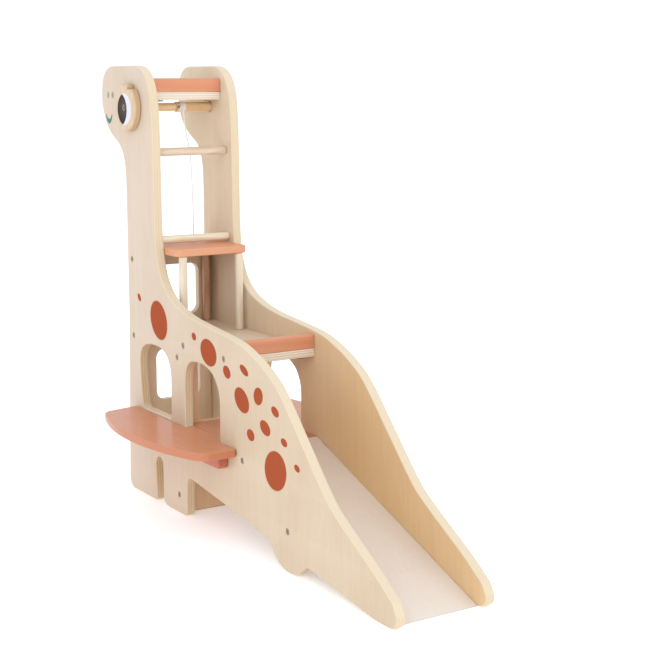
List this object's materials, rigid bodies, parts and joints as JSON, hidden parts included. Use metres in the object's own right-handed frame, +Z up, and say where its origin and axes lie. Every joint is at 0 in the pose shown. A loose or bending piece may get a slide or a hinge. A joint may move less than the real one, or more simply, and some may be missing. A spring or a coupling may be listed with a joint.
{
  "type": "toy play tower",
  "caption": "Wooden long-necked dinosaur play tower for toy cars: plywood side panels, stacked decks, balconies, a ramp and eye-knob winch with cord.",
  "frame": {"origin": "centre of the bounding box at floor level, under the tower", "axes": "+X runs down the ramp towards its foot, +Y towards the left side when looking down the ramp, +Z up"},
  "size_m": [0.6798, 0.2726, 0.56],
  "materials": {
    "birch_ply": "clear satin lacquer, eased edges",
    "dowel": "sanded and lightly lacquered",
    "turned_wood": "turned, satin lacquer, printed eye on the knobs",
    "salmon_paint": "satin salmon stain over plywood",
    "ramp_paint": "smooth pale grey-beige paint",
    "steel": "dull bronze-grey screw heads",
    "cord": "thin white twisted string"
  },
  "bodies": {
    "tower": {"back_wall": "birch_ply", "balcony_cleat_left": "salmon_paint", "balcony_cleat_right": "salmon_paint", "balcony_left": "salmon_paint", "balcony_right": "salmon_paint", "car_curb_screw_left": "steel", "car_curb_screw_right": "steel", "car_deck": "birch_ply", "car_deck_curb": "salmon_paint", "head_curb_screw_left": "steel", "head_curb_screw_right": "steel", "head_platform": "birch_ply", "head_platform_curb": "salmon_paint", "landing": "salmon_paint", "landing_post_left": "dowel", "landing_post_right": "dowel", "landing_rear_post_left": "dowel", "landing_rear_post_right": "dowel", "lift_cord": "cord", "lower_deck": "salmon_paint", "middle_wall": "birch_ply", "ramp_batten": "birch_ply", "ramp_board": "ramp_paint", "rung_lower": "dowel", "rung_upper": "dowel", "screw_deck_front_left": "steel", "screw_deck_front_right": "steel", "screw_deck_rear_left": "steel", "screw_deck_rear_right": "steel", "screw_mid_high_left": "steel", "screw_mid_high_right": "steel", "screw_mid_low_left": "steel", "screw_mid_low_right": "steel", "screw_ramp_high_left": "steel", "screw_ramp_high_right": "steel", "screw_ramp_low_left": "steel", "screw_ramp_low_right": "steel", "screw_wall_high_left": "steel", "screw_wall_high_right": "steel", "screw_wall_low_left": "steel", "screw_wall_low_right": "steel", "side_panel_left": "birch_ply", "side_panel_right": "birch_ply"},
    "winch": {"winch_axle": "dowel", "winch_drum": "turned_wood", "drum_pin": "steel", "cord_winding": "cord", "eye_knob_right": "turned_wood", "eye_knob_left": "turned_wood", "eye_screw_right": "steel", "eye_screw_left": "steel"},
    "cord_end": {"cord_knot": "cord"}
  },
  "joints": [
    {"name": "winch_turn", "type": "hinge", "parent": "tower", "child": "winch", "pos_m": [-0.24887, 0, 0.5072], "axis": [0, -1, 0], "range_deg": [0, 1000]},
    {"name": "cord_lift", "type": "slide", "parent": "tower", "child": "cord_end", "axis": [0, 0, 1], "range_m": [0, 0.145], "deforming": ["lift_cord"]}
  ],
  "couplings": [
    {"joint": "cord_lift", "follows": "winch_turn", "m_per_rad": 0.0083}
  ]
}
